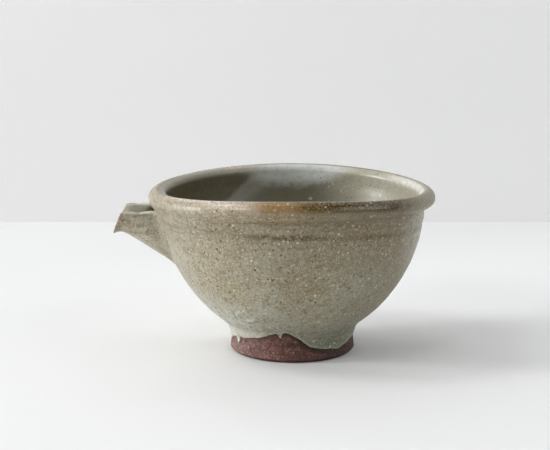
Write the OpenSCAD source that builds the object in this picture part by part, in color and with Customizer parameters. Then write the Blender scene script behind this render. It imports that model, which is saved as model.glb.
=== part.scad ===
// Katakuchi: a wheel-thrown stoneware pouring bowl for sake, with a rolled lip,
// a turned foot of bare clay and an open spout let into the wall below the rim.
// Millimetres, +Z up, origin at the centre of the foot's base, spout towards -X.

/* [Bowl] */
// Height from the table to the top of the lip
height = 71.5; // [60:0.5:90]
// Diameter over the rolled lip
rim_d = 120; // [100:1:150]
// Thickness of the clay wall under the lip
wall_t = 2.5; // [1.8:0.1:4]
// Thickness of the clay floor over the hollow of the foot
floor_t = 5.5; // [3:0.1:9]

/* [Lip] */
// Thickness of the rolled lip, glaze included
roll_d = 8; // [6:0.25:11]

/* [Foot] */
// Diameter of the foot at its widest, just above the base
foot_d = 53.4; // [44:0.2:66]
// Height at which the curve of the wall would meet the neck of the foot
foot_h = 11.4; // [8:0.2:16]
// Width of the foot's ring, from its bore to its widest edge
foot_ring_w = 7.2; // [4:0.2:12]
// Depth of the hollow turned under the foot
recess_depth = 5.5; // [3:0.1:8]
// How far the foot narrows towards the wall, on each side
foot_neck = 0.5; // [0.2:0.1:2]
// Bevel on the edge that meets the table
foot_bevel = 1.3; // [0.5:0.1:2.5]
// Radius of the hollow curve between the foot and the wall
foot_fillet_r = 10; // [6:0.5:14]

/* [Spout] */
// How far the tip of the pouring lip stands out from the wall
spout_length = 21.7; // [16:0.1:30]
// Diameter of the spout's tube, glaze included
spout_d = 22; // [17:0.5:27]
// Thickness of the spout's clay
spout_t = 2.6; // [1.8:0.1:3.6]
// Rise of the spout from the level, in degrees
spout_rise = 31.7; // [22:0.1:40]
// How far the spout's trimmed top edge lies below the lip
spout_drop = 1.7; // [0.8:0.1:5]
// Depth of the tube's centre line below the top edge, where it leaves the wall
spout_root_depth = 8.8; // [5:0.1:11]
// How far the pouring lip droops below the line of the spout's keel
lip_droop = 2.7; // [1:0.1:4.5]
// Lean of the trimmed end from the upright, in degrees
lip_rake = 22.8; // [8:0.2:35]
// How far the hole through the wall stays inside the spout's channel
hole_ledge = 0.9; // [0.4:0.1:2]
// Width of the soft coil worked into the sides of the spout's joint
coil_w = 2.6; // [1.4:0.1:4]
// Width that is left of the coil under the keel
coil_keel_w = 0.8; // [0.4:0.1:1.2]
// How far the flattened coil stands out from the wall
coil_h = 2; // [1:0.1:3.5]

/* [Glaze] */
// Thickness of the glaze
glaze_t = 0.5; // [0.3:0.05:0.8]
// Lowest height that the glaze reaches on the foot
glaze_low = 4.6; // [3:0.1:7]

/* [Hidden] */
$fn = 96;

// how far a cutting shape runs past what it cuts, and the least step worth drawing
overlap = 1;
sliver = 0.1;

// the lip's section is a circle, flush with the inside of the wall
roll_r = roll_d / 2;
roll_c = rim_d / 2 - roll_r;
roll_z = height - roll_r;
shoulder_z = height - roll_d;

// clay surfaces lie one glaze thickness under the finished ones
inner_r = rim_d / 2 - roll_d + glaze_t;
wall_r = inner_r + wall_t;
foot_r = foot_d / 2;
neck_r = foot_r - foot_neck;
bore_r = foot_r - foot_ring_w;

// outside of the wall: an arc, upright under the lip, that would run down to the neck of the foot
arc_in = wall_r - neck_r;
arc_r = (pow(arc_in, 2) + pow(shoulder_z - foot_h, 2)) / (2 * arc_in);
arc_c = wall_r - arc_r;

// inside: an arc, upright under the lip, that comes down to the floor
floor_z = max(recess_depth, shoulder_z - arc_r) + floor_t;
depth = shoulder_z - floor_z;
hollow_r = depth < inner_r ? depth : (pow(inner_r, 2) + pow(depth, 2)) / (2 * inner_r);
hollow_c = inner_r - hollow_r;

// the foot's fillet circle touches the neck and the wall's arc
fillet_c = neck_r + foot_fillet_r;
fillet_z = shoulder_z - sqrt(pow(arc_r + foot_fillet_r, 2) - pow(fillet_c - arc_c, 2));
fillet_share = arc_r / (arc_r + foot_fillet_r);
fillet_top_z = shoulder_z - (shoulder_z - fillet_z) * fillet_share;
fillet_top_r = arc_c + (fillet_c - arc_c) * fillet_share;

// the spout hangs from the lip, and its levelled lip droops from the keel at the tip
spout_r = spout_d / 2 - glaze_t;
channel_r = spout_r - spout_t;
hole_r = channel_r - hole_ledge;
spout_top_z = shoulder_z - spout_drop;
spout_root_z = spout_top_z - spout_root_depth;
spout_reach = wall_r + glaze_t + spout_length;
keel_tip_z = spout_root_z + (spout_reach - wall_r) * tan(spout_rise) - spout_d / 2 / cos(spout_rise);
lip_z = keel_tip_z - lip_droop;
lip_flare = 0.2;
lip_r = spout_r + lip_flare;
lip_axis_z = lip_z + glaze_t + lip_r;
lip_length = (lip_droop + spout_t) / tan(spout_rise);
tip_x = spout_reach - glaze_t / cos(lip_rake);

// the coil narrows back along the spout, down to where the keel runs into the wall
keel_start = [arc_r + spout_r * sin(spout_rise), spout_root_z - spout_r * cos(spout_rise) - shoulder_z];
keel_ahead = keel_start * [cos(spout_rise), sin(spout_rise)];
keel_back = keel_ahead - sqrt(pow(keel_ahead, 2) - keel_start * keel_start + pow(arc_r, 2));
coil_taper = (coil_w - coil_keel_w) / keel_back;
coil_flare = coil_taper * spout_d;

// bare scallops between the drips: bearing, rise above the lowest glaze, radius
scallops = [[-98, 8.6, 9.6], [-128, 4.8, 7], [-160, 3.6, 6], [-8, 4, 8], [24, 2.6, 6],
            [58, 5, 9], [92, 2.8, 6], [122, 5.8, 8], [152, 3.8, 7], [180, 2.2, 5]];

clay = [0.45, 0.30, 0.26];
ash_green = [0.58, 0.56, 0.47];

// Half section of a round bowl: an arc of radius r about [c, shoulder_z] under an upright brim,
// with a flat floor where the arc's centre lies off the axis
module bowl_section(c, r, top) {
    intersection() {
        union() {
            translate([c, shoulder_z]) circle(r = r, $fn = 180);
            if (c > sliver)
                translate([0, shoulder_z - r]) square([c, r]);
        }
        square([rim_d, shoulder_z]);
    }
    translate([0, shoulder_z]) square([c + r, top - shoulder_z]);
}

// Section of everything inside the wall's outer face, grown by t
module wall_envelope(t) {
    bowl_section(arc_c, arc_r + t, roll_z);
}

// Section of the bowl's hollow, shrunk by t
module hollow_section(t) {
    bowl_section(hollow_c, hollow_r - t, height);
}

// Section of the foot and its fillet, grown outwards by t
module foot_section(t) {
    difference() {
        polygon([
            [bore_r, 0],
            [foot_r - foot_bevel + t, 0],
            [foot_r + t, foot_bevel],
            [neck_r + sliver + t, fillet_z],
            [fillet_top_r + overlap, fillet_top_z - overlap],
            [bore_r, fillet_top_z - overlap]
        ]);
        translate([fillet_c, fillet_z]) circle(r = foot_fillet_r - t);
    }
}

// Section of the lip, grown by t
module roll_section(t) {
    translate([roll_c, roll_z]) circle(r = roll_r - glaze_t + t);
}

// Turns the spout's own axis, along +Z, to the way it leaves the wall, starting inside the bowl
module along_spout() {
    translate([-wall_r, 0, spout_root_z])
        rotate([0, spout_rise - 90, 0]) translate([0, 0, -spout_d]) children();
}

// Space below the trimmed top edge and behind the raked end, grown by t
module spout_trim(t) {
    end_x = -tip_x - t / cos(lip_rake);
    top = spout_top_z - glaze_t + t;
    rotate([90, 0, 0]) linear_extrude(height = 2 * spout_d, center = true) polygon([
        [0, floor_z],
        [end_x, floor_z],
        [end_x, lip_z],
        [end_x + (top - lip_z) * tan(lip_rake), top],
        [0, top]
    ]);
}

// The rising tube and its levelled pouring lip, before trimming
module spout_tubes(r, r_lip) {
    along_spout() cylinder(h = 2 * (spout_d + spout_length), r = r);
    translate([lip_length - tip_x, 0, lip_axis_z])
        rotate([0, -90, 0]) cylinder(h = lip_length + spout_d, r = r_lip);
}

module spout_outer(t) {
    intersection() {
        spout_tubes(spout_r + t, lip_r + t);
        spout_trim(t);
    }
}

module spout_channel(t) {
    spout_tubes(channel_r - t, channel_r + lip_flare - t);
}

// Coil pressed flat round the spout's root, grown by t
module coil_form(t) {
    coil_r = spout_r + coil_w + t;
    intersection() {
        along_spout() cylinder(h = 2 * spout_d, r1 = coil_r - coil_flare, r2 = coil_r + coil_flare);
        rotate_extrude() wall_envelope(coil_h + t);
        spout_trim(t);
    }
}

module pierced_hole() {
    along_spout() cylinder(h = 2 * spout_d, r = hole_r);
}

module bowl_wall() {
    color(clay) difference() {
        rotate_extrude() difference() {
            wall_envelope(0);
            hollow_section(0);
            square([bore_r, recess_depth]);
        }
        pierced_hole();
    }
}

module foot_ring() {
    color(clay) rotate_extrude() difference() {
        foot_section(0);
        wall_envelope(0);
    }
}

module rolled_rim() {
    color(clay) rotate_extrude() difference() {
        roll_section(0);
        square([wall_r, roll_z]);
    }
}

module spout() {
    color(clay) difference() {
        spout_outer(0);
        spout_channel(0);
        rotate_extrude() wall_envelope(0);
    }
}

module luting_coil() {
    color(clay) difference() {
        coil_form(0);
        spout_tubes(spout_r, lip_r);
        rotate_extrude() wall_envelope(0);
    }
}

module inner_glaze() {
    color(ash_green) difference() {
        rotate_extrude() difference() {
            hollow_section(0);
            hollow_section(glaze_t);
            translate([0, roll_z]) square([rim_d, height]);
        }
        pierced_hole();
    }
}

module outer_glaze() {
    color(ash_green) difference() {
        rotate_extrude() difference() {
            intersection() {
                union() {
                    wall_envelope(glaze_t);
                    foot_section(glaze_t);
                }
                translate([(bore_r + neck_r) / 2, glaze_low]) square([rim_d, height]);
            }
            wall_envelope(0);
            foot_section(0);
            roll_section(0);
        }
        for (s = scallops)
            rotate([0, 0, s[0]]) translate([bore_r, 0, glaze_low + s[1] - s[2]])
                rotate([0, 90, 0]) cylinder(h = foot_r, r = s[2]);
        spout_outer(0);
        coil_form(0);
    }
}

module rim_glaze() {
    color(ash_green) rotate_extrude() difference() {
        roll_section(glaze_t);
        roll_section(0);
        square([wall_r + glaze_t, roll_z]);
    }
}

module spout_glaze() {
    color(ash_green) difference() {
        union() {
            spout_outer(glaze_t);
            coil_form(glaze_t);
        }
        spout_channel(glaze_t);
        difference() {
            union() {
                spout_outer(0);
                coil_form(0);
            }
            spout_channel(0);
        }
        rotate_extrude() wall_envelope(glaze_t);
    }
}

bowl_wall();
foot_ring();
rolled_rim();
spout();
luting_coil();
inner_glaze();
outer_glaze();
rim_glaze();
spout_glaze();
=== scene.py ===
from math import atan2, cos, degrees, exp, hypot, pi, radians, sin, sqrt

import bpy
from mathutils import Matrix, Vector, noise


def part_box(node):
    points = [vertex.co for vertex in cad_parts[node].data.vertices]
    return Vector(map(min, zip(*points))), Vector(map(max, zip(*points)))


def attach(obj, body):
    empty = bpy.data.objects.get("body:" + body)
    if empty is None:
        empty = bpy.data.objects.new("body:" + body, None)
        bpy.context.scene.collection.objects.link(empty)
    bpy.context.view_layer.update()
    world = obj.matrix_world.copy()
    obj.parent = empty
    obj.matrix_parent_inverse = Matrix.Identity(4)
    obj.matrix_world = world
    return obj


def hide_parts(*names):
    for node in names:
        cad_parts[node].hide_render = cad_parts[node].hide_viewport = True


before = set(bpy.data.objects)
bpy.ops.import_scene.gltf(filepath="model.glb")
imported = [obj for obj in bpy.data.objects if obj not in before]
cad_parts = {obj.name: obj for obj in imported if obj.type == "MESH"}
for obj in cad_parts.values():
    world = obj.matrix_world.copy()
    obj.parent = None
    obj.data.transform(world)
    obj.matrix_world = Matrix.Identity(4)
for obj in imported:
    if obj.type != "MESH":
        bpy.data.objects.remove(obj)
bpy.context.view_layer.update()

# Foot: the ring that the bowl stands on, turned from the same iron-rich stoneware on the wheel.
# It was wiped clean before the firing, so its red-brown clay is bare, with fine turning lines
# and a scorched line where the glaze stops.
MM = 0.001
FOOT_R = 26.7 * MM
FOOT_NECK = 0.5 * MM
FOOT_BEVEL = 1.3 * MM
FOOT_RING_W = 7.2 * MM
FOOT_FILLET_R = 10 * MM
# how the foot runs on, hidden, into the clay of the bowl: up to this height, and this far past the recess
FOOT_TOP = 16 * MM
FOOT_BITE = 4 * MM
BORE_EDGE = 0.5 * MM
KNOCK = 0.16 * MM
KNOCK_HEIGHT = 5 * MM
TURNING_PITCH = 0.8 * MM
PITS_TURN = -93
PITS_Z = 7.6 * MM
BELLY_R = 61.5 * MM
TURNS = 400
SEAM = 0.002 * MM
# how the glaze's edge is softened: degrees to each side, and the height and number of its ripples
EDGE_BLUR = 0.8
EDGE_RIPPLE = 0.3 * MM
EDGE_RIPPLES = 11
# bearing in degrees and height in millimetres of the glaze's edge, round the foot
GLAZE_EDGE = [(-170, 5.8), (-162.7, 6.8), (-154, 8.2), (-150.8, 8.0), (-149.4, 5.8), (-148.2, 4.4),
              (-147.2, 7.6), (-145.6, 8.6), (-139.5, 8.5), (-130, 9.5), (-123.5, 9.8), (-115, 11.2),
              (-107, 12.8), (-103.4, 13.7), (-102.2, 12.6), (-101, 9.4), (-99.8, 12.6), (-98.6, 13.8),
              (-95.6, 14.2), (-91, 12.7), (-86.6, 11.4), (-81, 9.2), (-74.7, 7.0), (-65, 5.6), (-54, 5.0),
              (-44, 4.3), (-33.7, 5.6), (-16.8, 7.4), (-4, 9.2), (6, 6.6), (12, 6.2), (20, 9.0), (38, 10.2),
              (52, 5.2), (58, 4.9), (66, 7.4), (84, 8.8), (98, 6.4), (112, 10.6), (124, 11.2), (139, 5.4),
              (146, 5.0), (155, 8.0), (172, 7.4)]

lip_low, lip_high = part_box("rim_glaze")
shoulder_z = lip_low.z
clay_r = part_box("bowl_wall")[1].x
recess_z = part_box("bowl_wall")[0].z
belly_c = clay_r - BELLY_R
neck_r = FOOT_R - FOOT_NECK
bore_r = FOOT_R - FOOT_RING_W
fillet_c = neck_r + FOOT_FILLET_R
fillet_z = shoulder_z - sqrt((BELLY_R + FOOT_FILLET_R) ** 2 - (fillet_c - belly_c) ** 2)
fillet_top_z = shoulder_z - (shoulder_z - fillet_z) * BELLY_R / (BELLY_R + FOOT_FILLET_R)


def belly_radius(z):
    """Radius of the clay wall at a height below the lip."""
    return belly_c + sqrt(BELLY_R ** 2 - (shoulder_z - z) ** 2)


def clay_radius(z):
    """Radius of the clay at a height, from the edge of the foot up to the lip."""
    if z < fillet_z:
        rise = max(0.0, (z - FOOT_BEVEL) / (fillet_z - FOOT_BEVEL))
        return FOOT_R - FOOT_NECK * rise - max(0.0, FOOT_BEVEL - z)
    if z < fillet_top_z:
        return fillet_c - sqrt(FOOT_FILLET_R ** 2 - (z - fillet_z) ** 2)
    return belly_radius(z)


def steps(start, end, count):
    """Evenly spaced values from start to end, both included."""
    return [start + (end - start) * i / (count - 1) for i in range(count)]


def ease(value, low, high):
    """0 below low, 1 above high, and a smooth rise between them."""
    share = min(1.0, max(0.0, (value - low) / (high - low)))
    return share * share * (3 - 2 * share)


def hump(value, middle, width):
    """1 at the middle, and a soft fall to nothing on both sides."""
    return exp(-((value - middle) / width) ** 2)


def bearing_of(place):
    return atan2(place.y, place.x)


def spoke(bearing):
    """The level direction out from the bowl's axis at a bearing."""
    return Vector((cos(bearing), sin(bearing), 0))


def round_bowl(turn, marks):
    """The value at a bearing in degrees, on straight lines between marks that go all the way round."""
    turn = (turn + 180) % 360 - 180
    ring = [(marks[-1][0] - 360, marks[-1][1])] + marks + [(marks[0][0] + 360, marks[0][1])]
    for (turn_0, value_0), (turn_1, value_1) in zip(ring, ring[1:]):
        if turn <= turn_1:
            return value_0 + (value_1 - value_0) * (turn - turn_0) / (turn_1 - turn_0)


def glaze_edge(bearing):
    """Height at which the glaze stops on the foot, with the drips' corners rounded."""
    turn = degrees(bearing)
    line = sum(round_bowl(turn + aside, GLAZE_EDGE) for aside in (-EDGE_BLUR, 0, EDGE_BLUR)) / 3
    return line * MM + EDGE_RIPPLE * noise.noise(spoke(bearing) * EDGE_RIPPLES)


def pick(piece):
    """Makes one piece the active one, with nothing else selected."""
    bpy.ops.object.select_all(action="DESELECT")
    bpy.context.view_layer.objects.active = piece
    piece.select_set(True)


def edit(piece):
    """Opens one piece in edit mode, with all of its points selected."""
    pick(piece)
    bpy.ops.object.mode_set(mode="EDIT")
    bpy.ops.mesh.select_mode(type="VERT")
    bpy.ops.mesh.select_all(action="SELECT")


def close_up(piece):
    """Merges doubled points, turns the faces outwards and leaves edit mode."""
    bpy.ops.mesh.select_all(action="SELECT")
    bpy.ops.mesh.remove_doubles(threshold=SEAM)
    bpy.ops.mesh.normals_make_consistent(inside=False)
    bpy.ops.object.mode_set(mode="OBJECT")
    bpy.ops.object.shade_smooth()
    return piece


def throw(name, outline):
    """Spins an outline of (radius, height) points about the bowl's axis, as on the wheel."""
    bpy.ops.object.select_all(action="DESELECT")
    bpy.ops.mesh.primitive_plane_add(size=MM, location=(outline[0][0], 0, outline[0][1]))
    piece = bpy.context.object
    piece.name = piece.data.name = name
    bpy.ops.object.transform_apply(location=True)
    edit(piece)
    bpy.ops.mesh.merge(type="CENTER")
    for (r0, z0), (r1, z1) in zip(outline, outline[1:]):
        bpy.ops.mesh.extrude_vertices_move(TRANSFORM_OT_translate={"value": (r1 - r0, 0, z1 - z0)})
    bpy.ops.mesh.select_all(action="SELECT")
    bpy.ops.mesh.spin(steps=TURNS, angle=2 * pi, center=(0, 0, 0), axis=(0, 0, 1))
    return close_up(piece)


def work(piece, press):
    """Moves each point of a thrown piece to the radius and height that press gives for its place."""
    for point in piece.data.vertices:
        bearing = bearing_of(point.co)
        radius, height = press(bearing, hypot(point.co.x, point.co.y), point.co.z)
        point.co = (radius * cos(bearing), radius * sin(bearing), height)
    piece.data.update()


def mark(piece, name, share):
    """Stores a number from 0 to 1 at every point of a piece, for its material to read."""
    layer = piece.data.attributes.new(name, "FLOAT", "POINT")
    for point, stored in zip(piece.data.vertices, layer.data):
        stored.value = min(1.0, max(0.0, share(point.co)))


class Wire:
    """A socket of a material's nodes. Arithmetic on it adds Math nodes, and node() adds any other."""

    def __init__(self, tree, socket=None):
        self.tree = tree
        self.socket = socket

    def node(self, kind, settings=None, sockets=None, output=0):
        made = self.tree.nodes.new("ShaderNode" + kind)
        for name, value in (settings or {}).items():
            setattr(made, name, value)
        for name, value in (sockets or {}).items():
            if isinstance(value, Wire):
                self.tree.links.new(value.socket, made.inputs[name])
            else:
                made.inputs[name].default_value = value
        return Wire(self.tree, made.outputs[output] if made.outputs else None)

    def math(self, operation, first, second):
        return self.node("Math", {"operation": operation}, {0: first, 1: second})

    def __add__(self, other):
        return self.math("ADD", self, other)

    def __sub__(self, other):
        return self.math("SUBTRACT", self, other)

    def __rsub__(self, other):
        return self.math("SUBTRACT", other, self)

    def __mul__(self, other):
        return self.math("MULTIPLY", self, other)

    def __truediv__(self, other):
        return self.math("DIVIDE", self, other)

    def __pow__(self, other):
        return self.math("POWER", self, other)

    __radd__ = __add__
    __rmul__ = __mul__

    def ramp(self, low, high):
        """0 at low, 1 at high, and a smooth rise between them."""
        return self.node("MapRange", {"interpolation_type": "SMOOTHSTEP"}, {0: self, 1: low, 2: high})

    def tint(self, under, over):
        """The colour under, covered by the colour over as far as this mask says."""
        return self.node("Mix", {"data_type": "RGBA"}, {0: self, 6: under, 7: over}, output=2)

    def axes(self):
        """The three numbers of a place."""
        split = self.node("SeparateXYZ", sockets={0: self}).socket.node
        return [Wire(self.tree, socket) for socket in split.outputs]

    def read(self, name):
        """A number stored on the piece's points."""
        return self.node("Attribute", {"attribute_name": name}, output="Fac")

    def patches(self, size, detail=3.0, rough=0.5):
        """Soft random patches about size metres across, as numbers round one half."""
        return self.node("TexNoise", sockets={"Vector": self, "Scale": 1 / size, "Detail": detail,
                                              "Roughness": rough})

    def specks(self, spacing, least, most, shift):
        """Uneven specks about spacing metres apart, with radii from least to most, some of them faint."""
        stray = self.node("TexNoise", sockets={"Vector": self, "Scale": 2 / spacing}, output="Color")
        bent = self.node("VectorMath", {"operation": "MULTIPLY_ADD"},
                         {0: stray, 1: [spacing / 2] * 3, 2: self})
        moved = self.node("VectorMath", {"operation": "ADD"}, {0: bent, 1: (shift, 2 * shift, 3 * shift)})
        cells = self.node("TexVoronoi", sockets={"Vector": moved, "Scale": 1 / spacing})
        chance, strength, _ = Wire(self.tree, cells.socket.node.outputs["Color"]).axes()
        radius = (least + (most - least) * chance ** 2) / spacing
        return (1 - (cells / radius).ramp(0.6, 1.0)) * (0.3 + 0.7 * strength)


def paint(red, green, blue):
    """A colour as a screen shows it, from 0 to 255, turned into light."""
    def light(value):
        return ((value / 255 + 0.055) / 1.055) ** 2.4
    return (light(red), light(green), light(blue), 1.0)


def new_material(name):
    """An empty material, with the place on the object that its patterns read."""
    material = bpy.data.materials.new(name)
    material.use_nodes = True
    material.node_tree.nodes.clear()
    start = Wire(material.node_tree)
    return material, start.node("TexCoord", output="Object")


def fire(material, place, colour, roughness, relief, depth):
    """Joins a finish's colour, roughness and relief, in metres of depth, into its surface."""
    bump = place.node("Bump", sockets={"Strength": 1.0, "Distance": depth, "Height": relief})
    surface = place.node("BsdfPrincipled", sockets={"Base Color": colour, "Roughness": roughness,
                                                    "Normal": bump})
    place.node("OutputMaterial", sockets={"Surface": surface})
    return material


def bare_clay():
    """The fired clay: red-brown and gritty, fire-darkened below the glaze, greyer at the left with painted
    light and nearly black at the right with painted shade.
    """
    red, brown = paint(114, 75, 64), paint(92, 60, 49)
    left_lit_grey, right_shade_dark = paint(127, 98, 92), paint(39, 31, 21)
    smear, shade, sand = paint(80, 50, 46), paint(76, 49, 43), paint(176, 138, 126)
    pit, chip, scorched_and_shaded = paint(44, 28, 24), paint(186, 158, 140), paint(42, 27, 20)
    material, place = new_material("bare_clay")
    x, _, z = place.axes()
    clouds = place.patches(13 * MM, 4.0, 0.6)
    smears = place.patches(3.5 * MM, 4.0, 0.6)
    grit = place.patches(0.8 * MM, 2.0, 0.6)
    lines = (z + 0.3 * MM * place.patches(14 * MM)) * (2 * pi / TURNING_PITCH)
    turned = place.math("SINE", lines, 0.0)
    body = clouds.ramp(0.36, 0.64).tint(red, brown)
    # painted light on the left side and painted shade on the right side, as the light falls from the left
    body = (x.ramp(-6 * MM, -24 * MM) * 0.9).tint(body, left_lit_grey)
    body = (x.ramp(2 * MM, 22 * MM) * 0.85).tint(body, right_shade_dark)
    body = (smears.ramp(0.48, 0.62) * 0.8).tint(body, smear)
    body = (grit.ramp(0.44, 0.66) * 0.65).tint(body, shade)
    body = ((1 - grit.ramp(0.34, 0.46)) * 0.5).tint(body, sand)
    body = place.specks(1.9 * MM, 0.2 * MM, 0.7 * MM, 0.3).tint(body, pit)
    body = (place.specks(2.4 * MM, 0.16 * MM, 0.5 * MM, 0.7) * 0.7).tint(body, chip)
    # fire-darkened clay below the glaze, with painted shade along the bottom edge
    body = (place.read("scorch_and_shade") * smears.ramp(0.26, 0.5)).tint(body, scorched_and_shaded)
    relief = grit + 0.12 * turned + 0.8 * smears
    return fire(material, place, body, 0.68 + 0.16 * grit, relief, 0.2 * MM)


# down its bore, across the face it stands on, up its side, and back inside the clay of the bowl
bitten = (bore_r, recess_z + FOOT_BITE)
stand_r = FOOT_R - FOOT_BEVEL
foot_outline = [bitten, (bore_r, BORE_EDGE), (bore_r + BORE_EDGE, 0)]
foot_outline += [(stand_r - 0.3 * MM, 0), (stand_r + 0.1 * MM, 0.15 * MM)]
foot_outline += [(clay_radius(z), z) for z in steps(0.5 * MM, FOOT_BEVEL, 4)]
foot_outline += [(clay_radius(z), z) for z in steps(FOOT_BEVEL + 0.4 * MM, FOOT_TOP, 40)]
foot_outline += [(bore_r + 2 * MM, FOOT_TOP), bitten]


def knocks(bearing, height):
    """How far a hand-turned foot stands out from a true round."""
    up = Vector((0, 0, height / KNOCK_HEIGHT))
    return KNOCK * noise.noise(spoke(bearing) * 1.7 + up) * ease(height, 0, 2 * MM)


def foot_press(bearing, radius, height):
    return radius + knocks(bearing, height), height


def scorch_and_shade(place):
    """The clay is darkest just below the glaze, in a row of pits at the front, and along its bottom edge,
    where painted shade darkens the bevel that faces down.
    """
    turn = degrees(bearing_of(place))
    gap = glaze_edge(bearing_of(place)) - place.z
    side = 0.2 + 0.8 * hump(turn, -78, 36) + 0.5 * hump(turn, 60, 40)
    pits = 0.7 * hump(turn, PITS_TURN, 13) * hump(place.z, PITS_Z, 1.1 * MM)
    # painted shade on the bevel of the bottom edge, which faces the table
    darkened_and_shaded = 0.9 * (1 - ease(place.z, 0.5 * MM, 1.6 * MM))
    return side * (1 - ease(gap, 0.5 * MM, 3 * MM)) + pits + darkened_and_shaded


foot = throw("foot", foot_outline)
work(foot, foot_press)
mark(foot, "scorch_and_shade", scorch_and_shade)
clay = bare_clay()
foot.data.materials.append(clay)
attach(foot, "root")
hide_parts("foot_ring")

# Bowl: thrown in one piece, with its lip rolled over outwards and a line scored below it. It was dipped
# in a wood-ash glaze that ran down over the foot in drips. It warped a little in the kiln: the lip is
# high at the front and back, low at the sides, and pulled out towards the spout.
GLAZE_T = 0.5 * MM
# the warp of the lip, its roll, and the slope inside it
LIP_WARP = 1.1 * MM
FRONT_LIFT = 1.0 * MM
FRONT_TURN = -92
FRONT_SPAN = 38
LIP_FROM = 64 * MM
LIP_OVAL = 0.9 * MM
LIP_PULL = 0.5 * MM
LIP_THICK = 1.1 * MM
ROLL_LIFT = 0.9 * MM
ROLL_FILLET_R = 0.8 * MM
CREST_R = 1.6 * MM
CREST_TURN = 75
INNER_EDGE_R = 3 * MM
LIP_SLOPE = 0.8 * MM
LIP_LEAN = 20
# the scored line, the throwing rings, and the clay that fills the hollow under the roll
SCORE_Z = 58 * MM
SCORE_TILT = 1.2 * MM
SCORE_DEPTH = 0.36 * MM
SCORE_RIDGE = 0.3 * MM
RING_DEPTH = 0.14 * MM
RING_PITCH = 4 * MM
WANDER = 0.3 * MM
WANDER_PITCH = 26 * MM
DENT = 0.25 * MM
NECK_FROM = 56 * MM
FILL_TURN = -142
FILL_SPAN = 40
FILL_TOP = 68 * MM
# the lower edge of the glaze, and the drip that runs down from it
DRAPE_TOP = 21 * MM
EDGE_ROUND = 0.5 * MM
EDGE_BEAD = 1.7 * MM
BEAD_TOP = 6.3 * MM
RUNS_TOP = 30 * MM
DRIP_TURN = -157
DRIP_SLANT = 8
DRIP_TOP = 13 * MM
DRIP_DROP = 7.5 * MM
DRIP_W = 0.62 * MM
DRIP_H = 0.4 * MM
# the scar low on the wall
SCAR_TURN = -119.5
SCAR_Z = 22 * MM
SCAR_W = 3.9 * MM
SCAR_H = 2.3 * MM
SCAR_FACING = 220
SCAR_RIDGE = 1.3 * MM
SCAR_GROOVE = 0.8 * MM
GROOVE_SIZE = 1.4
# bearing in degrees and strength of the iron-brown band on the lip
IRON_BAND = [(-176, 0.25), (-150, 0.1), (-116, 0.2), (-100, 0.8), (-92, 1.0), (-80, 0.95), (-70, 0.8),
             (-40, 0.9), (0, 0.8), (50, 0.4), (90, 0.2), (140, 0.35)]

edge_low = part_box("outer_glaze")[0].z
lip_r = (lip_high.z - lip_low.z) / 2
lip_c = lip_high.x - lip_r
lip_z = lip_high.z - lip_r
hollow_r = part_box("inner_glaze")[1].x - GLAZE_T
wall_r = clay_r + GLAZE_T


def arc(centre, radius, start, end, count):
    """Points of a round from one angle to another, in degrees."""
    return [(centre[0] + radius * cos(a), centre[1] + radius * sin(a))
            for a in steps(radians(start), radians(end), count)]


def coat(above):
    """Thickness of the glaze at a height above its edge: a rounded bead, then an even coat."""
    rounding = sqrt(1 - (1 - min(1.0, above / EDGE_ROUND)) ** 2)
    return GLAZE_T * rounding * (1 + 0.5 * exp(-(above / EDGE_BEAD) ** 2))


# out under the floor, down inside the foot to the edge of the glaze, and up the wall
bowl_outline = [(0, recess_z), (bore_r * 0.4, recess_z)]
bowl_outline += [(r, shoulder_z - sqrt(BELLY_R ** 2 - (r - belly_c) ** 2))
                 for r in steps(14.2 * MM, 24 * MM, 8)]
bowl_outline += [(clay_radius(edge_low) - 0.6 * MM, edge_low + 0.4 * MM)]
bowl_outline += [(clay_radius(edge_low + s) + coat(s), edge_low + s)
                 for s in (0, 0.05 * MM, 0.15 * MM, 0.3 * MM, 0.5 * MM, 0.8 * MM, 1.2 * MM)]
bowl_outline += [(clay_radius(z) + coat(z - edge_low), z) for z in steps(BEAD_TOP, RUNS_TOP, 46)]
bowl_outline += [(belly_radius(z) + GLAZE_T, z) for z in steps(RUNS_TOP + 0.6 * MM, NECK_FROM, 34)]

# the roll, from the hollow under it, over its crest and down the slope inside to the edge of the mouth
under_r = wall_r + ROLL_FILLET_R
under_z = lip_z - sqrt((lip_r + ROLL_FILLET_R) ** 2 - (under_r - lip_c) ** 2)
crest_r = lip_c + (lip_r - CREST_R) * cos(radians(CREST_TURN))
crest_z = lip_z + (lip_r - CREST_R) * sin(radians(CREST_TURN))
neck_rows = steps(NECK_FROM + 0.4 * MM, under_z - 0.3 * MM, 18)
bowl_outline += [(belly_radius(z) + GLAZE_T, z) for z in neck_rows]
bowl_outline += arc((under_r, under_z), ROLL_FILLET_R, 180, 90, 6)
bowl_outline += arc((lip_c, lip_z), lip_r, -84, CREST_TURN, 26)[1:]
bowl_outline += arc((crest_r, crest_z), CREST_R, CREST_TURN, 90 + LIP_LEAN, 6)[1:]
slope_r = bowl_outline[-1][0] - LIP_SLOPE * cos(radians(LIP_LEAN))
slope_z = bowl_outline[-1][1] - LIP_SLOPE * sin(radians(LIP_LEAN))
inner_edge = (slope_r + INNER_EDGE_R * sin(radians(LIP_LEAN)),
              slope_z - INNER_EDGE_R * cos(radians(LIP_LEAN)))
bowl_outline += arc(inner_edge, INNER_EDGE_R, 90 + LIP_LEAN, 180, 9)
mouth_r, mouth_z = bowl_outline[-1]
hollow = [(hollow_r, z) for z in steps(mouth_z - 0.6 * MM, shoulder_z + 0.6 * MM, 6)]
hollow += arc((0, shoulder_z), hollow_r, 0, -90, 56)
bowl_outline += [(r + (mouth_r - hollow_r) * ease(z, 42 * MM, mouth_z), z) for r, z in hollow]
bowl_outline[-1] = (0, shoulder_z - hollow_r)


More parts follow.
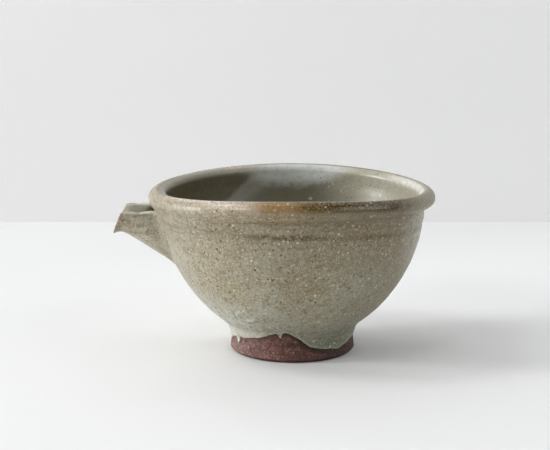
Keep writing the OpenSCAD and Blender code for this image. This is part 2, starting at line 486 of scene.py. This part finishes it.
def is_outside(radius, height):
    return hypot(radius, max(0.0, shoulder_z - height)) > hollow_r + 1.5 * MM


def lip_warp(bearing, height):
    """How far the kiln lifted the wall, and most of all the lip at the front."""
    lift = -cos(2 * bearing) * LIP_WARP * ease(height, 25 * MM, lip_high.z)
    front = hump(degrees(bearing), FRONT_TURN, FRONT_SPAN) * ease(height, LIP_FROM, lip_high.z)
    return lift + FRONT_LIFT * front


def lip_spread(bearing, height):
    """How far the mouth was pulled out of round, most of all over the spout."""
    share = LIP_OVAL * (1 + cos(2 * bearing)) / 2 - LIP_PULL * cos(bearing)
    return share * ease(height, 45 * MM, lip_z)


def roll_lift(bearing, height):
    """How far the lower side of the roll was pressed up: most at the right, least at the spout."""
    neck = under_z + ROLL_FILLET_R
    rise = ease(height, NECK_FROM, neck) if height < neck else 1 - ease(height, neck, lip_z)
    return ROLL_LIFT * (0.6 + 0.4 * cos(bearing)) * rise


def neck_fill(bearing, radius, height):
    """How far clay fills the hollow under the roll, left of the front, where it runs into the wall."""
    slope = belly_radius(min(height, shoulder_z)) + GLAZE_T
    slope += (lip_high.x - wall_r - 0.6 * MM) * ease(height, 52 * MM, FILL_TOP)
    return hump(degrees(bearing), FILL_TURN, FILL_SPAN) * max(0.0, slope - radius)


def score_z(bearing):
    """Height of the line scored round the wall, which tilts down to the right."""
    return SCORE_Z - SCORE_TILT * cos(bearing)


def scar(bearing, height, size):
    """A crescent where something touched the wet glaze, open at its upper right; size 1 is its ridge."""
    across = radians(degrees(bearing) - SCAR_TURN) * clay_radius(SCAR_Z) / SCAR_W
    up = (height - SCAR_Z) / SCAR_H
    facing = 0.5 + 0.5 * cos(atan2(up, across) - radians(SCAR_FACING))
    return hump(hypot(across, up), size, 0.2) * facing


def drip_ridge(bearing, height):
    """A run of thick pale glaze that slants down on to the foot."""
    fall = (DRIP_TOP - height) / DRIP_DROP
    aside = radians(degrees(bearing) - DRIP_TURN - DRIP_SLANT * fall) * neck_r
    return hump(aside, 0, DRIP_W) * ease(fall, -0.4, 0)


def bowl_press(bearing, radius, height):
    """The glaze's run over the foot, the scored line, the throwing rings and the warp of the lip."""
    around = spoke(bearing)
    outside = is_outside(radius, height)
    if outside and radius > neck_r - 1 * MM and height < DRAPE_TOP:
        above = height - edge_low
        shift = (glaze_edge(bearing) - edge_low) * (1 - ease(above, 0, DRAPE_TOP - edge_low))
        thick = (radius - clay_radius(height)) * (1 - 0.05 * shift / MM)
        height += shift
        radius = clay_radius(height) + thick + knocks(bearing, height)
        radius += DRIP_H * drip_ridge(bearing, height) * ease(thick, 0.2 * MM, GLAZE_T)
    rings = noise.noise(around * 0.8 + Vector((0, 0, height / RING_PITCH)))
    wander = noise.noise(around * 1.1 + Vector((7, 3, height / WANDER_PITCH)))
    thrown = ease(height, 14 * MM, 24 * MM) * (1 - ease(height, 60 * MM, LIP_FROM))
    radius += (RING_DEPTH * rings + WANDER * wander) * thrown
    if outside:
        radius += SCAR_RIDGE * scar(bearing, height, 1)
        radius -= SCAR_GROOVE * scar(bearing, height, GROOVE_SIZE)
        radius += neck_fill(bearing, radius, height) if height < FILL_TOP else 0
        line = height - score_z(bearing)
        score = SCORE_DEPTH * (0.75 + 0.5 * noise.noise(around * 2))
        radius += SCORE_RIDGE * hump(line, 2.4 * MM, 1.6 * MM) - score * hump(line, 0, 0.7 * MM)
        height += roll_lift(bearing, height)
    left = ease(-cos(bearing), 0.6, 1) * ease(height, 58 * MM, mouth_z)
    radius -= LIP_THICK * left * (1 - ease(radius, mouth_r, crest_r))
    dents = DENT * noise.noise(around * 2.6 + Vector((2, 5, 0))) * ease(height, LIP_FROM, lip_high.z)
    radius = max(0.0, radius + (lip_spread(bearing, height) + dents) * ease(radius, 0, hollow_r))
    return radius, height + lip_warp(bearing, height)


bowl = throw("bowl", bowl_outline)
work(bowl, bowl_press)


def flat_height(place):
    """A place's height, with the warp of the lip taken out."""
    return place.z - lip_warp(bearing_of(place), place.z)


def inside(place):
    """1 in the hollow and on the slope of the lip, and 0 on the wall outside."""
    radius = hypot(place.x, place.y) - lip_spread(bearing_of(place), place.z)
    depth = hypot(radius, max(0.0, shoulder_z - place.z))
    slope = ease(flat_height(place), 66 * MM, 68 * MM)
    slope *= 1 - ease(radius, crest_r - 1.6 * MM, crest_r - 0.6 * MM)
    return max(slope, 1 - ease(depth, hollow_r + 1.7 * MM, hollow_r + 2.4 * MM))


def iron_and_shade(place):
    """Where the glaze is thin and brown: the outer slope of the lip, and the lines below it; it also carries
    painted shade on the lower side of the roll, most at the right.
    """
    turn = degrees(bearing_of(place))
    height = flat_height(place)
    out = hypot(place.x, place.y) - lip_spread(bearing_of(place), place.z) - lip_c
    if out < -2 * MM:
        return 0.0
    strength = round_bowl(turn, IRON_BAND)
    band = ease(height, 67.2 * MM, 69.6 * MM) * ease(out, 0.9 * MM, 1.8 * MM) * strength
    # painted shade: brown down the lower side of the roll, most at the right
    under = 0.3 + 0.4 * hump(turn, -25, 40)
    band += under * ease(height, 62 * MM, 65 * MM) * ease(out, 0, 1 * MM) * strength
    score = 1.2 * hump(height, score_z(bearing_of(place)), 1.3 * MM)
    neck = 0.5 * hump(height, 63.8 * MM, 0.8 * MM)
    return band + (score + neck) * (0.15 + 0.85 * hump(turn, FRONT_TURN, 20) + 0.45 * hump(turn, -45, 20))


def ash(place):
    """Where the glaze is thick and pale: the drip, and its edge at the left of the foot; on the scar's ridge
    the pale is a painted highlight on its lit side.
    """
    bearing = bearing_of(place)
    turn = degrees(bearing)
    if not is_outside(hypot(place.x, place.y), place.z):
        return 0.0
    above = place.z - glaze_edge(bearing)
    side = 0.2 + 0.3 * hump(turn, -135, 25) + 0.5 * hump(turn, -97, 5)
    border = (1 - ease(above, 0.3 * MM, 1.4 * MM)) * side * (0.7 + 0.9 * noise.noise(place / (3 * MM)))
    # on the scar's ridge the pale is a painted highlight on its lit side
    return max(drip_ridge(bearing, place.z), scar(bearing, place.z, 1), border)


def pool_and_shade(place):
    """Where the glaze collected, thick and blue-green, above its lowest edge; beside the scar the dark line
    along its groove is painted shade.
    """
    bearing = bearing_of(place)
    turn = degrees(bearing)
    if not is_outside(hypot(place.x, place.y), place.z):
        return 0.0
    lobe = hump(turn, -50, 25) + 0.8 * hump(turn, 55, 25) + 0.8 * hump(turn, 143, 18)
    low = 1 - ease(place.z - glaze_edge(bearing), 3 * MM, 11 * MM)
    # beside the scar, a painted shadow line along the groove
    return lobe * low + scar(bearing, place.z, GROOVE_SIZE)


def hollow_colour(place, clouds, mottle):
    """The glaze in the hollow: dark olive at the left, which is painted shade, then grey-green, and pale at
    the right with painted light, with painted reflections at the back and a painted glint on the lip.
    """
    olive, green, spots = paint(84, 78, 55), paint(110, 109, 92), paint(112, 106, 84)
    reflection_streak_grey, right_lit_grey, slope_lit_grey = paint(152, 151, 140), paint(157, 153, 136), paint(164, 160, 140)
    sky_reflection_white, glint_white = paint(204, 208, 204), paint(204, 203, 195)
    x, y, z = place.axes()
    # painted shade: the hollow is dark olive at the left, where its own wall shades it
    slant = x - 1.1 * (z - 66 * MM) + 14 * MM * (clouds - 0.5)
    behind = (y + 30 * MM * (clouds - 0.5)).ramp(-34 * MM, -4 * MM)
    left = 1 - slant.ramp(-17 * MM, -21 * MM) * behind
    # painted light: the right of the hollow, which the light reaches, is pale
    right = (x + 30 * MM * (clouds - 0.5)).ramp(6 * MM, 42 * MM)
    colour = left.tint(olive, green)
    # painted reflection: a pale grey streak across the back of the hollow
    reflection_streak = left * slant.ramp(-5 * MM, -12 * MM) * y.ramp(14 * MM, 38 * MM)
    colour = (reflection_streak * 0.6).tint(colour, reflection_streak_grey)
    colour = right.tint(colour, right_lit_grey)
    # painted light: the slope inside the lip, which faces up, is paler
    colour = (z.ramp(67.6 * MM, 70 * MM) * 0.7).tint(colour, slope_lit_grey)
    # painted reflection of the sky, pale at the back of the slope
    sky_reflection = (y + z + 8 * MM * (mottle - 0.5)).ramp(113 * MM, 120 * MM)
    sky_reflection = sky_reflection * x.ramp(-26 * MM, -10 * MM) * x.ramp(36 * MM, 16 * MM)
    colour = sky_reflection.tint(colour, sky_reflection_white)
    # painted glint at the right of the lip
    glint = z.ramp(66 * MM, 69 * MM) * x.ramp(38 * MM, 52 * MM)
    colour = glint.tint(colour, glint_white)
    return (mottle.ramp(0.44, 0.7) * 0.3).tint(colour, spots)


def wall_colour(place, clouds, mottle):
    """The glaze outside: khaki clouds, brown under the lip, green-grey low down; painted light at the left,
    painted shade at the right, a painted reflection on its right edge.
    """
    pale_khaki, khaki, high_brown = paint(162, 159, 140), paint(153, 143, 113), paint(138, 122, 92)
    low_green, right_shade_olive, left_lit_grey = paint(156, 158, 142), paint(106, 100, 80), paint(157, 153, 137)
    spout_lit_cream, low_left_lit_grey = paint(190, 183, 163), paint(194, 196, 187)
    right_edge_sheen_grey, streak_brown, spots = paint(182, 180, 168), paint(112, 92, 60), paint(122, 110, 82)
    x, _, z = place.axes()
    colour = clouds.ramp(0.38, 0.62).tint(pale_khaki, khaki)
    colour = (z.ramp(34 * MM, 58 * MM) * 0.55).tint(colour, high_brown)
    colour = (z.ramp(32 * MM, 12 * MM) * 0.75).tint(colour, low_green)
    # painted shade: olive towards the right, away from the light, over a browner glaze
    colour = (x.ramp(-8 * MM, 46 * MM) * 0.5).tint(colour, right_shade_olive)
    # painted light: paler towards the left, where the light falls
    colour = (x.ramp(-14 * MM, -46 * MM) * 0.6).tint(colour, left_lit_grey)
    # painted light: paler still at the spout, at the far left
    colour = (x.ramp(-56 * MM, -62 * MM) * 0.6).tint(colour, spout_lit_cream)
    # painted light: paler low on the left, lit from the left and by the white table
    low_left_lit = x.ramp(-2 * MM, -30 * MM) * z.ramp(36 * MM, 14 * MM)
    colour = (low_left_lit * 0.8).tint(colour, low_left_lit_grey)
    # painted reflection: the right edge below the lip lightened, as if it reflects the white wall
    right_edge_sheen = x.ramp(42 * MM, 54 * MM) * z.ramp(65 * MM, 61 * MM)
    colour = (right_edge_sheen * 0.7).tint(colour, right_edge_sheen_grey)
    flat = place.node("VectorMath", {"operation": "MULTIPLY"}, {0: place, 1: (0.2, 0.2, 1)})
    streaks = flat.patches(1.3 * MM, 3.0, 0.6).ramp(0.5, 0.68)
    colour = (streaks * z.ramp(46 * MM, 60 * MM) * 0.5).tint(colour, streak_brown)
    return (mottle.ramp(0.46, 0.66) * 0.6).tint(colour, spots)


def iron_colour(place, clouds, scored):
    """The thin glaze: gold-brown at the front, dark at the right, olive in the score, dull at the spout."""
    gold, dark, olive, dull = paint(146, 112, 66), paint(72, 56, 14), paint(94, 71, 32), paint(130, 101, 70)
    x = place.axes()[0]
    right = (x + 20 * MM * (clouds - 0.5)).ramp(-4 * MM, 16 * MM)
    colour = scored.tint(right.tint(gold, dark), olive)
    return x.ramp(-54 * MM, -58 * MM).tint(colour, dull)


def ash_glaze():
    """The glaze all over, with its grain, its brown thin glaze and pale thick glaze, and specks where it
    isn't smooth, with painted light and shade in its colour.
    """
    cream, umber = paint(204, 196, 174), paint(88, 76, 54)
    pool_dark, pool_light = paint(98, 101, 84), paint(128, 132, 112)
    end_olive, crest_highlight_white, ash_and_light_white = paint(152, 146, 122), paint(216, 206, 194), paint(208, 207, 193)
    fleck_white, iron_spot, ash_spot = paint(214, 205, 182), paint(52, 40, 28), paint(222, 214, 192)
    hollow_pit, hollow_blob = paint(58, 54, 40), paint(212, 212, 204)
    material, place = new_material("ash_glaze")
    x, _, z = place.axes()
    hollow = place.read("inside")
    # thin brown glaze, which also carries painted shade on the lower side of the roll
    thin = place.read("iron_and_shade")
    lip = (z + 0.05 * x).ramp(67.6 * MM, 70.2 * MM)
    calm = hollow * (0.9 - 0.45 * x.ramp(0, 30 * MM))
    wiped = x.ramp(-42 * MM, -50 * MM) * x.ramp(-62 * MM, -57 * MM)
    rough = (1 - 0.5 * wiped) * (1 - calm) * (1 - 0.65 * lip * (1 - 0.6 * thin))
    rough = rough * (1 - 0.25 * x.ramp(0, 40 * MM))
    clouds = place.patches(24 * MM, 4.0, 0.55)
    mottle = place.patches(3.2 * MM, 4.0, 0.65)
    grain = place.patches(1.0 * MM, 4.0, 0.7)
    body = wall_colour(place, clouds, mottle)
    body = (grain.ramp(0.5, 0.68) * 0.5 * rough).tint(body, cream)
    body = (grain.ramp(0.48, 0.34) * 0.5 * rough).tint(body, umber)
    pooled_and_shaded = grain.ramp(0.4, 0.6).tint(pool_dark, pool_light)
    # pooled glaze, with a painted shadow line beside the scar
    body = place.read("pool_and_shade").tint(body, pooled_and_shaded)
    # the hollow's colours, with their painted light, shade and reflections
    body = (hollow * 0.95).tint(body, hollow_colour(place, clouds, mottle))
    scored = z.ramp(66 * MM, 62 * MM)
    blotch = 1 - 0.6 * scored * mottle.ramp(0.5, 0.4)
    # the brown of the thin glaze, with the painted shade under the roll
    darkened_and_shaded = thin * blotch * (0.2 + 0.8 * grain.ramp(0.38, 0.54))
    body = darkened_and_shaded.tint(body, iron_colour(place, clouds, scored))
    right_end = x.ramp(40 * MM, 54 * MM) * z.ramp(62 * MM, 66 * MM) * (1 - hollow)
    body = (right_end * 0.75).tint(body, end_olive)
    # painted highlight: a pale streak along the crest of the lip at the front left
    crest_highlight = lip * x.ramp(-8 * MM, -26 * MM) * (0.25 + 0.4 * grain.ramp(0.38, 0.58))
    body = crest_highlight.tint(body, crest_highlight_white)
    dark = place.specks(1.7 * MM, 0.2 * MM, 0.6 * MM, 0.2) * (0.3 + 0.7 * rough)
    pale = place.specks(1.8 * MM, 0.2 * MM, 0.66 * MM, 0.9) * rough
    flecks = place.specks(1.0 * MM, 0.12 * MM, 0.4 * MM, 0.5) * rough
    body = (flecks * 0.7).tint(body, fleck_white)
    body = (dark * 0.95).tint(body, iron_spot)
    body = (pale * 0.9).tint(body, ash_spot)
    # pale thick glaze, with a painted highlight on the scar's ridge and painted light on the spout
    body = place.read("ash").tint(body, ash_and_light_white)
    lit = hollow * x.ramp(-12 * MM, 8 * MM)
    pits = place.specks(5 * MM, 0.3 * MM, 0.8 * MM, 0.4)
    blobs = place.specks(5.5 * MM, 0.4 * MM, 1.2 * MM, 0.6)
    body = (pits * lit * 0.7).tint(body, hollow_pit)
    body = (blobs * lit * 0.6).tint(body, hollow_blob)
    relief = (mottle + 0.6 * grain + 0.6 * pale - 0.8 * dark) * (1 - 0.8 * hollow)
    relief = relief * (1 - 0.7 * z.ramp(66 * MM, 69 * MM))
    polish = lip * (1 - hollow) * x.ramp(50 * MM, 34 * MM)
    gloss = (0.3 + 0.24 * mottle) * (1 - 0.15 * hollow) * (1 - 0.6 * polish)
    return fire(material, place, body, gloss, relief, 0.3 * MM)


glaze = ash_glaze()
bowl.data.materials.append(glaze)
bowl.data.materials.append(clay)
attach(bowl, "root")
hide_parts("bowl_wall", "rolled_rim", "inner_glaze", "outer_glaze", "rim_glaze")

# Spout: a short open trough of clay, bent round a finger, trimmed with a knife and stuck over a hole
# pierced in the wall. The joint was smoothed with a wet fingertip, so it runs into the wall in a
# soft hollow, and the glaze is thin and brown on its cut edges.
SPOUT_RISE = radians(31.7)
SPOUT_R = 11 * MM
CHANNEL_R = 7.9 * MM
HOLE_R = 6.7 * MM
SPOUT_ROOT_DROP = 10.5 * MM
SPOUT_RUN = 60 * MM
LIP_UNDER_Z = 51.1 * MM
LIP_RUN = 9 * MM
LIP_RAKE = radians(22.8)
JOINT_W = 5 * MM
JOINT_KEEL_W = 2 * MM
JOINT_H = 5 * MM
CORE_R = 54.8 * MM
CLAY_GRAIN = 0.34 * MM
# how far behind its root the spout's bar and channel begin, and what is trimmed and pressed afterwards
SPOUT_BACK = 12 * MM
CHANNEL_BACK = 20 * MM
TOP_TRIM = 0.2 * MM
TOP_TILT = (-0.03, -0.03, 1)
TIP_TRIM = 0.6 * MM
FINGER_MARK = 0.2 * MM
KEEL_LIFT = Vector((0, 0, 0.6 * MM))
TIP_HOOK = Vector((-0.4 * MM, 0, -1.1 * MM))
HOLE_EDGE = 2 * MM

root = Vector((-clay_r, 0, shoulder_z - SPOUT_ROOT_DROP))
ahead = Vector((-cos(SPOUT_RISE), 0, sin(SPOUT_RISE)))
rake = Vector((-cos(LIP_RAKE), 0, sin(LIP_RAKE)))
tip = Vector((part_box("spout_glaze")[0].x, 0, LIP_UNDER_Z))
top_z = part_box("spout_glaze")[1].z


def rod(radius, start, direction, length):
    """A round bar, to join or cut with, from a point along a direction in the bowl's centre plane."""
    bpy.ops.object.select_all(action="DESELECT")
    bpy.ops.mesh.primitive_cylinder_add(vertices=120, radius=radius, depth=length,
                                        location=start + direction * length / 2,
                                        rotation=(0, atan2(direction.x, direction.z), 0))
    bpy.ops.object.transform_apply(location=True, rotation=True)
    return bpy.context.object


def finish_with(piece, modifier):
    """Applies a modifier to a piece."""
    pick(piece)
    bpy.ops.object.modifier_apply(modifier=modifier.name)


def cut(piece, tool, operation="DIFFERENCE"):
    """Cuts a piece with a tool, or joins the two, and does away with the tool."""
    modifier = piece.modifiers.new(operation, "BOOLEAN")
    modifier.operation = operation
    modifier.object = tool
    finish_with(piece, modifier)
    bpy.data.objects.remove(tool)


def trim(piece, point, normal):
    """Slices off what lies beyond a plane and closes the cut."""
    edit(piece)
    bpy.ops.mesh.bisect(plane_co=point, plane_no=normal, use_fill=True, clear_outer=True)
    bpy.ops.object.mode_set(mode="OBJECT")


def soften(piece, test, times):
    """Smooths the points that pass a test of their place, as with a wet fingertip."""
    edit(piece)
    bpy.ops.mesh.select_all(action="DESELECT")
    bpy.ops.object.mode_set(mode="OBJECT")
    for point in piece.data.vertices:
        point.select = test(point.co)
    bpy.ops.object.mode_set(mode="EDIT")
    bpy.ops.mesh.vertices_smooth(factor=0.5, repeat=times)
    bpy.ops.object.mode_set(mode="OBJECT")


def off_axis(place):
    """The way to a place from the nearest point of the spout's centre line."""
    return place - root - ahead * (place - root).dot(ahead)


def from_axis(place):
    """Distance of a place from the spout's centre line."""
    return off_axis(place).length


def over_wall(place):
    """How far a place stands out from the bowl's glazed wall."""
    wall = belly_radius(min(place.z, shoulder_z)) + GLAZE_T + lip_spread(bearing_of(place), place.z)
    return hypot(place.x, place.y) - wall


def along_wall(place):
    """The way that leads from the spout's centre line, along the wall."""
    outwards = off_axis(place)
    facing = Vector((place.x, place.y, min(0.0, place.z - shoulder_z))).normalized()
    return (outwards - facing * outwards.dot(facing)).normalized()


def joint(place):
    """How far the wet clay was drawn out round the spout's root, in a hollow that runs on to the wall."""
    up = off_axis(place).normalized().z
    width = JOINT_W + (JOINT_KEEL_W - JOINT_W) * ease(-up, 0.2, 0.8)
    rise = min(1.0, max(0.0, (over_wall(place) + 0.5 * MM) / JOINT_H))
    drawn = width * (1 - sqrt(1 - (1 - rise) ** 2))
    return drawn * ease(from_axis(place), CHANNEL_R + 0.6 * MM, SPOUT_R - 0.4 * MM)


def from_tip(place):
    """Distance of a place back from the raked end of the spout."""
    return (tip - place).dot(rake)


def shape_by_hand(place, normal):
    """The joint, the uneven top edges, the hooked tip, and the marks of fingers all over the spout."""
    moved = place + along_wall(place) * joint(place) + normal * FINGER_MARK * noise.noise(place / (5 * MM))
    uneven = (0.2 + 0.5 * ease(-place.y, -2 * MM, 4 * MM)) * noise.noise(place / (2.6 * MM))
    moved.z += uneven * MM * ease(place.z, top_z - 3 * MM, top_z)
    hook = (1 - ease(place.z, tip.z + 0.5 * MM, tip.z + 4 * MM)) * (1 - ease(place.x, tip.x, tip.x + 3 * MM))
    below = -off_axis(place).z / SPOUT_R
    keel = ease(below, 0.3, 0.9) * ease(from_tip(place), 2 * MM, 8 * MM) * ease(over_wall(place), 0, 8 * MM)
    return moved + KEEL_LIFT * keel + TIP_HOOK * hook


lip_start = tip + Vector((LIP_RUN, 0, SPOUT_R))
level = Vector((-1, 0, 0))
spout = rod(SPOUT_R, root - ahead * SPOUT_BACK, ahead, SPOUT_RUN)
spout.name = spout.data.name = "spout_and_joint"
cut(spout, rod(SPOUT_R, lip_start, level, SPOUT_RUN), "UNION")
trim(spout, (root.x, 0, top_z - TOP_TRIM), TOP_TILT)
trim(spout, tip + Vector((TIP_TRIM, 0, 0)), rake)
cut(spout, rod(CHANNEL_R, root - ahead * CHANNEL_BACK, ahead, SPOUT_RUN))
cut(spout, rod(CHANNEL_R, lip_start, level, SPOUT_RUN))
bpy.ops.object.select_all(action="DESELECT")
bpy.ops.mesh.primitive_uv_sphere_add(segments=128, ring_count=64, radius=CORE_R, location=(0, 0, shoulder_z))
core = bpy.context.object
bpy.ops.object.transform_apply(location=True)
cut(spout, core)
remesh = spout.modifiers.new("grain", "REMESH")
remesh.mode = "VOXEL"
remesh.voxel_size = CLAY_GRAIN
finish_with(spout, remesh)
soften(spout, lambda place: over_wall(place) > -0.8 * MM, 5)
for point, normal in [(point, point.normal.copy()) for point in spout.data.vertices]:
    point.co = shape_by_hand(point.co, normal)
soften(spout, lambda place: -0.5 * MM < over_wall(place) < 6 * MM, 4)
edit(spout)
close_up(spout)

# the hole in the bowl's wall, then the marks for its glaze, which the new points of the hole need too
cut(bowl, rod(HOLE_R, root - ahead * SPOUT_BACK, ahead, 2 * SPOUT_BACK))
soften(bowl, lambda place: place.x < 0 and abs(from_axis(place) - HOLE_R) < HOLE_EDGE, 9)
bpy.ops.object.shade_smooth()
for face in bowl.data.polygons:
    underneath = face.center.z < shoulder_z - hollow_r - 0.3 * MM
    if underneath and hypot(face.center.x, face.center.y) < neck_r - 1.5 * MM:
        face.material_index = 1
mark(bowl, "inside", inside)
mark(bowl, "iron_and_shade", iron_and_shade)
mark(bowl, "ash", ash)
mark(bowl, "pool_and_shade", pool_and_shade)


def in_channel(place):
    """1 on the skin of the spout's channel, and 0 outside."""
    return 1 - ease(from_axis(place), CHANNEL_R + 0.2 * MM, CHANNEL_R + 0.9 * MM)


def spout_inside(place):
    """1 in the channel near the bowl, which is lined like the hollow with its painted shade, and 0 outside
    and at the lip.
    """
    return in_channel(place) * ease(from_tip(place), 8 * MM, 13 * MM)


def spout_iron(place):
    """The glaze is thin on the raked edge of the spout, and a little on its sides."""
    back = from_tip(place)
    uneven = 0.7 + 0.6 * noise.noise(place / (2 * MM))
    edge = 0.8 * (1 - ease(back, 0.6 * MM, 3 * MM)) + 0.5 * (1 - ease(back, 2 * MM, 11 * MM))
    return uneven * edge * (1 - 0.7 * in_channel(place))


def spout_ash_and_light(place):
    """The upper edges of the trough are pale with a painted highlight, and its channel towards the lip is
    pale with painted light.
    """
    upper = 0.7 * ease(place.z, top_z - 2 * MM, top_z - 0.6 * MM) * ease(from_tip(place), 3 * MM, 6 * MM)
    return max(upper, 0.8 * in_channel(place) * (1 - ease(from_tip(place), 6 * MM, 11 * MM)))


mark(spout, "inside", spout_inside)
mark(spout, "iron_and_shade", spout_iron)
mark(spout, "ash", spout_ash_and_light)
spout.data.materials.append(glaze)
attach(spout, "root")
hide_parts("spout", "luting_coil", "spout_glaze")

# Stage: a white table against a white wall, lit by three windows on the left, low, high and far, and
# softly by a pale wall on the right and a ceiling. A small window behind glints on the lip.
WALL_Y = 300 * MM
STAGE_SIZE = 8.0
NEAR_WHITE = (0.865, 0.87, 0.875, 1)
SHADED_FAR_WHITE = (0.78, 0.785, 0.785, 1)
WALL_WHITE = (0.98, 0.98, 0.98, 1)
DAYLIGHT = (0.97, 0.975, 0.985, 1)
DAYLIGHT_STRENGTH = 0.08
MIDDLE = (0, 0, 30 * MM)
LIP_MIDDLE = (0, 0, 70 * MM)


def matt(material, place, colour):
    """Joins the colour of a dull paint into its surface."""
    surface = place.node("BsdfPrincipled", sockets={"Base Color": colour, "Roughness": 0.9})
    place.node("OutputMaterial", sockets={"Surface": surface})
    return material


def table_white():
    """White, with painted shade that dulls it a little at the back, away to the left."""
    material, place = new_material("table_white")
    x, y, _ = place.axes()
    # painted shade: duller towards the back left of the table
    back = (y - 0.4 * x).ramp(60 * MM, 260 * MM)
    return matt(material, place, back.tint(NEAR_WHITE, SHADED_FAR_WHITE))


def wall_white():
    material, place = new_material("wall_white")
    return matt(material, place, WALL_WHITE)


def panel(name, place, tilt, white):
    """A big flat surface of the studio."""
    bpy.ops.object.select_all(action="DESELECT")
    bpy.ops.mesh.primitive_plane_add(size=STAGE_SIZE, location=place, rotation=(tilt, 0, 0))
    bpy.ops.object.transform_apply(location=True, rotation=True)
    made = bpy.context.object
    made.name = made.data.name = name
    made.data.materials.append(white)


panel("table", (0, WALL_Y - STAGE_SIZE / 2, 0), 0, table_white())
panel("back_wall", (0, WALL_Y, STAGE_SIZE / 2), pi / 2, wall_white())

world = bpy.data.worlds.new("daylight")
bpy.context.scene.world = world
world.use_nodes = True
world.node_tree.nodes["Background"].inputs["Color"].default_value = DAYLIGHT
world.node_tree.nodes["Background"].inputs["Strength"].default_value = DAYLIGHT_STRENGTH


def window(name, place, aim, width, height, power):
    """A soft rectangular light that faces a point."""
    lamp = bpy.data.lights.new(name, "AREA")
    lamp.shape = "RECTANGLE"
    lamp.size = width
    lamp.size_y = height
    lamp.energy = power
    lit = bpy.data.objects.new(name, lamp)
    lit.location = place
    lit.rotation_euler = (Vector(aim) - Vector(place)).to_track_quat("-Z", "Y").to_euler()
    bpy.context.scene.collection.objects.link(lit)


window("low_window", (-5.8, -0.45, 1.45), MIDDLE, 1.3, 1.3, 240)
window("high_window", (-3.65, -0.4, 4.7), MIDDLE, 1.3, 2.4, 72)
window("far_window", (-4.0, -3.2, 2.9), MIDDLE, 2.4, 1.6, 78)
window("right_wall", (4.5, -2, 3), MIDDLE, 4, 3, 80)
window("back_window", (-0.215, 0.285, 0.28), LIP_MIDDLE, 0.05, 0.26, 0.2)
window("ceiling", (-0.6, -0.9, 5.8), MIDDLE, 2.4, 2.4, 25)

# Camera: in front of the bowl and above it, looking a little down, as fitted to the photograph.
FOCAL_PX = 1425.3
IMAGE_W = 550
SENSOR = 36.0
CAMERA_PITCH = 10.554
CAMERA_PLACE = (-7.556 * MM, -600 * MM, 165.63 * MM)

view = bpy.data.cameras.new("camera")
view.sensor_width = SENSOR
view.lens = FOCAL_PX / IMAGE_W * SENSOR
camera = bpy.data.objects.new("camera", view)
camera.location = CAMERA_PLACE
camera.rotation_euler = (radians(90 - CAMERA_PITCH), 0, 0)
bpy.context.scene.collection.objects.link(camera)
bpy.context.scene.camera = camera
bpy.context.scene.view_settings.view_transform = "Standard"
